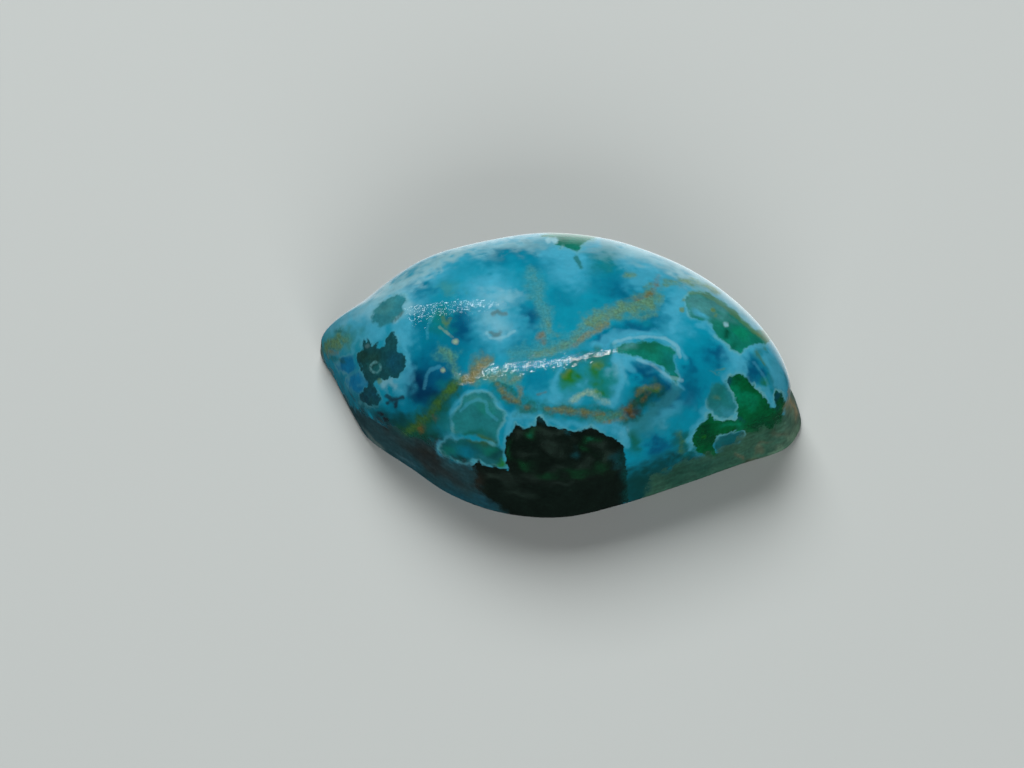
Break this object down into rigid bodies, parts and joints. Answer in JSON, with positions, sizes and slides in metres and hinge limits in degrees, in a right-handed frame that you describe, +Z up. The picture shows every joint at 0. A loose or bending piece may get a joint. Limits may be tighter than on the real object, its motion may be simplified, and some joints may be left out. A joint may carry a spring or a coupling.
{
  "type": "chrysocolla specimen",
  "caption": "Freeform chrysocolla and malachite cabochon with a polished dome, a ground side wall and a flat sawn back, for display or setting.",
  "frame": {"origin": "centre of the bounding box on the flat sawn back, which lies on the surface", "axes": "+X along the length from the thin tip to the blunt heel, +Y away from the viewer, +Z up out of the dome"},
  "size_m": [0.03, 0.0184, 0.009],
  "materials": {
    "chrysocolla": "polished dome, ground side wall and sawn back"
  },
  "bodies": {
    "root": {"chrysocolla_stone": "chrysocolla"}
  },
  "joints": []
}
